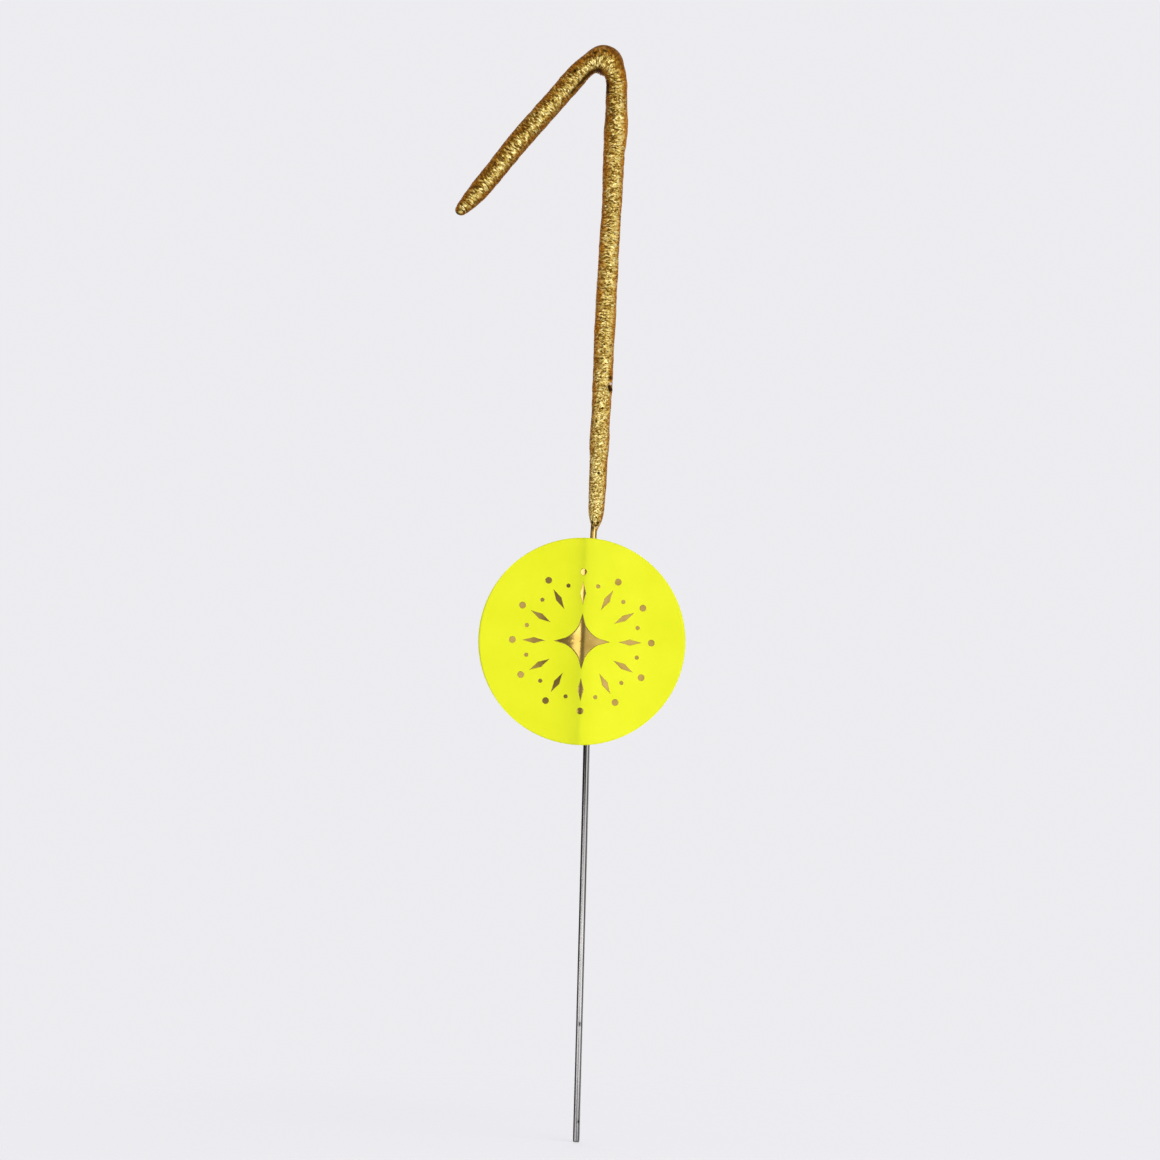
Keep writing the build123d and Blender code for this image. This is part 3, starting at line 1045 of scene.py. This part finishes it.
def spark_mass():
    """Dark grey with scattered metal filings, where the cell pattern's random tone is highest."""
    material, tree, place = new_material("spark_mass")
    cells = add(tree, "TexVoronoi", {"Vector": place, "Scale": FILING_SCALE})
    tone = add(tree, "SeparateColor", {"Color": cells.outputs["Color"]}).outputs["Red"]
    powder = noise(tree, place, POWDER_SCALE, 4)
    grey = ramp(tree, powder, POWDER_TONES)
    filings = spread(tree, tone, 0.86, 0.9, 0, 1)
    dress(composition, material, tree, {
        "Base Color": mixed(tree, filings, grey, FILING_TONE), "Metallic": filings,
        "Roughness": 0.8, "Normal": bumped(tree, powder, 0.6, 0.1)})


spark_mass()

# %% [markdown]
# ## Fluorescent paper
#
# The label is bright yellow paper with a thin satin finish. Paper is never one flat tone, so a fine
# noise stretched one way stands for its fibres and a slow one for clouds in the ink, both of them weak.
# Along the fold, shade is painted into the paper's colour, greener and darker.

# %% Paper material
FIBRE_SCALE = (5200, 5200, 1700)
FIBRE_TURN = (0, 0.5, 0)
FIBRE_TONE = (0.79, 0.84, 0.01)
CLOUD_SCALE = 160
INK_TONES = ((0.35, (0.83, 0.87, 0.008)), (0.65, (0.875, 0.905, 0.014)))
# Greener, darker yellow of the painted shade along the fold.
FOLD_SHADE_TONE = (0.62, 0.72, 0.02)


def fluorescent_paper():
    """Yellow with weak clouds and fibres, painted shade along the fold, and a fibre bump under a satin
    finish.
    """
    material, tree, place = new_material("fluorescent_paper")
    fibre_map = add(tree, "Mapping", {"Vector": place, "Scale": FIBRE_SCALE, "Rotation": FIBRE_TURN})
    fibres = noise(tree, fibre_map.outputs[0], 1, 4)
    clouds = noise(tree, place, CLOUD_SCALE, 3)
    ink = ramp(tree, clouds, INK_TONES)
    paper = mixed(tree, spread(tree, fibres, 0.35, 0.75, 0, 0.25), ink, FIBRE_TONE)
    fold_shaded = spread(tree, attribute(tree, "fold_shade"), 0, 1, 0, 0.45)
    dress(label, material, tree, {
        "Base Color": mixed(tree, fold_shaded, paper, FOLD_SHADE_TONE), "Roughness": 0.5,
        "Normal": bumped(tree, fibres, 0.15, 0.02), "Specular IOR Level": 0.15})


fluorescent_paper()

# %% [markdown]
# ## Glue and foil
#
# The glue lies over the paper's white back, so it looks like off-white paper under a soft gloss. The
# foil is a mirror of brownish gold: most of its look is what it reflects, which changes across the
# fold. Small breaks in the foil and a slight waviness keep it from looking like cut sheet metal.

# %% Glue and foil materials
MOTTLE_SCALE = 700
GLUE_TONES = ((0.35, (0.66, 0.655, 0.5)), (0.65, (0.78, 0.775, 0.64)))
FOIL_SCALE = 300
FOIL_TONES = ((0.35, (0.16, 0.104, 0.024)), (0.65, (0.22, 0.15, 0.042)))
SPECK_SCALE = 5000
SPECK_TONE = (0.62, 0.6, 0.05)


def glue_film():
    """Off-white with faint mottling, under a smooth clear gloss."""
    material, tree, place = new_material("glue_film")
    mottle = noise(tree, place, MOTTLE_SCALE, 4)
    colour = ramp(tree, mottle, GLUE_TONES)
    dress(film, material, tree, {
        "Base Color": colour, "Roughness": 0.42, "Normal": bumped(tree, mottle, 0.2, 0.04),
        "Coat Weight": 0.3, "Coat Roughness": 0.25})


def pressed_foil():
    """Brownish gold mirror with a waviness and specks where the foil didn't take."""
    material, tree, place = new_material("pressed_foil")
    waves = noise(tree, place, FOIL_SCALE, 2)
    specks = spread(tree, noise(tree, place, SPECK_SCALE, 2), 0.7, 0.76, 0, 0.6)
    gold = ramp(tree, waves, FOIL_TONES)
    dress(foil, material, tree, {
        "Base Color": mixed(tree, specks, gold, SPECK_TONE), "Metallic": 1.0,
        "Roughness": 0.18, "Normal": bumped(tree, waves, 0.1, 0.1)})


glue_film()
pressed_foil()

# %% [markdown]
# ## Floor
#
# The object stands on a pale floor. A large plane would show its edge and a horizon, so the floor is
# a disc that fades out. For the rays that the camera, metal and glass send, it is lifted to the pale
# tone of the sky, and it still keeps the object's shadow.

# %% Floor
PALE = (0.845, 0.84, 0.87, 1)
FLOOR_REACH = 160.0
FLOOR_FADE = (30.0, 120.0)
FLOOR_LIFT = 0.5
FLOOR_RINGS = 24
FLOOR_COLUMNS = 96
FLOOR_MIDDLE = 0.02


def seen_rays(tree):
    """1 for camera, glossy and transmission rays, and 0 for the rest: the largest of the three."""
    path = add(tree, "LightPath").outputs
    seen = path["Is Camera Ray"]
    for kind in ("Is Glossy Ray", "Is Transmission Ray"):
        seen = reckon(tree, "MAXIMUM", seen, path[kind])
    return seen


def floor_disc():
    """Disc at the stem's foot: rings of even steps from a pole, in the plane of the lower end."""
    a = around(FLOOR_COLUMNS)
    steps = np.linspace(FLOOR_MIDDLE, 1, FLOOR_RINGS)[:, None] * FLOOR_REACH
    rings = np.stack([steps * np.cos(a), steps * np.sin(a), np.zeros((FLOOR_RINGS, FLOOR_COLUMNS))], -1)
    mesh = bpy.data.meshes.new("floor")
    faces = tube_faces(FLOOR_RINGS, FLOOR_COLUMNS)[:-FLOOR_COLUMNS]
    mesh.from_pydata((with_poles(rings)[:-1] * MM).tolist(), [], faces)
    mesh.flip_normals()
    floor = place_object("floor", mesh)
    return floor


def pale_floor(floor):
    """Diffuse paint plus a glow for seen rays, fading to clear between two distances from the foot."""
    material, tree, place = new_material("pale_floor")
    away = add(tree, "VectorMath", {0: place}, operation="LENGTH").outputs["Value"]
    clear = spread(tree, away, FLOOR_FADE[0] * MM, FLOOR_FADE[1] * MM, 0, 1)
    lift = spread(tree, seen_rays(tree), 0, 1, 0, FLOOR_LIFT)
    paint = add(tree, "BsdfDiffuse", {"Color": PALE})
    glow = add(tree, "Emission", {"Color": PALE, "Strength": lift})
    pale = add(tree, "AddShader", {0: paint.outputs[0], 1: glow.outputs[0]})
    gone = add(tree, "BsdfTransparent")
    both = add(tree, "MixShader", {0: clear, 1: pale.outputs[0], 2: gone.outputs[0]})
    finish_material(floor, material, tree, both)


pale_floor(floor_disc())

# %% [markdown]
# ## Sky
#
# A picture of a studio could light the scene, but one pale tone is enough. It is full where the
# camera, metal and glass look at it, and dimmer as a lamp, so that the lamps shape the object.

# %% Sky
SKY_FILL = 0.3


def pale_sky():
    """World that is pale to camera, glossy and transmission rays, and a dimmer fill to the rest."""
    world = bpy.data.worlds.new("studio")
    world.use_nodes = True
    tree = world.node_tree
    tree.nodes.clear()
    strength = spread(tree, seen_rays(tree), 0, 1, SKY_FILL, 1)
    background = add(tree, "Background", {"Color": PALE, "Strength": strength})
    add(tree, "OutputWorld", {"Surface": background.outputs[0]})
    bpy.context.scene.world = world
    print(world.name, len(tree.nodes), "nodes")


pale_sky()
bpy.context.scene.view_settings.view_transform = "Standard"

# %% [markdown]
# ## Lamps
#
# The key is a large soft lamp in front, to the right and low, which is where the gold shines. Alone it
# would leave the metal dull elsewhere. So a small one at the left lights the fold and the foil, a tall
# one the coat's right side and a large one the back, and one high up throws the shadow.

# %% Lamps
LAMPS = (("key", (400, -1010, -20), (1100, 1100), 8.3), ("side", (-600, -860, 85), (340, 160), 1.5),
         ("right", (820, -570, 60), (260, 700), 1.8), ("top", (420, -380, 800), (500, 500), 1.0),
         ("back", (-100, 1000, 150), (900, 700), 6.0))
LAMP_TARGET = (0, 0, 95)


def soft_lamp(name, place, size, power):
    """Area lamp of a width and height at a place, turned to the target, in millimetres and watts."""
    data = bpy.data.lights.new(name, "AREA")
    data.shape = "RECTANGLE"
    data.size, data.size_y = (side * MM for side in size)
    data.energy = power
    lamp = place_object(name, data)
    lamp.location = Vector(place) * MM
    lamp.rotation_euler = (Vector(LAMP_TARGET) - Vector(place)).to_track_quat("-Z", "Y").to_euler()
    lamp.visible_camera = False
    print(name, "at", place)


for lamp_row in LAMPS:
    soft_lamp(*lamp_row)

# %% [markdown]
# ## Camera
#
# The picture is taken square to the numeral, and the object leans in it by a degree and a half. A
# long lens at a distance of 0.8 m keeps the sides parallel.

# %% Camera
VIEW_CENTRE = (-1.773, 92.15)
VIEW_WIDTH = 190.23
VIEW_DISTANCE = 800.0
VIEW_ROLL = np.radians(1.5)
camera_data = bpy.data.cameras.new("camera")
camera_data.lens = camera_data.sensor_width * VIEW_DISTANCE / VIEW_WIDTH
camera = place_object("camera", camera_data)
right = Vector((np.cos(VIEW_ROLL), 0, np.sin(VIEW_ROLL)))
up = Vector((-np.sin(VIEW_ROLL), 0, np.cos(VIEW_ROLL)))
turned = Matrix((right, up, Vector((0, -1, 0)))).transposed().to_4x4()
stand = Vector((VIEW_CENTRE[0], -VIEW_DISTANCE, VIEW_CENTRE[1])) * MM
camera.matrix_world = Matrix.Translation(stand) @ turned
bpy.context.scene.camera = camera
print("lens, mm:", round(camera_data.lens, 1))
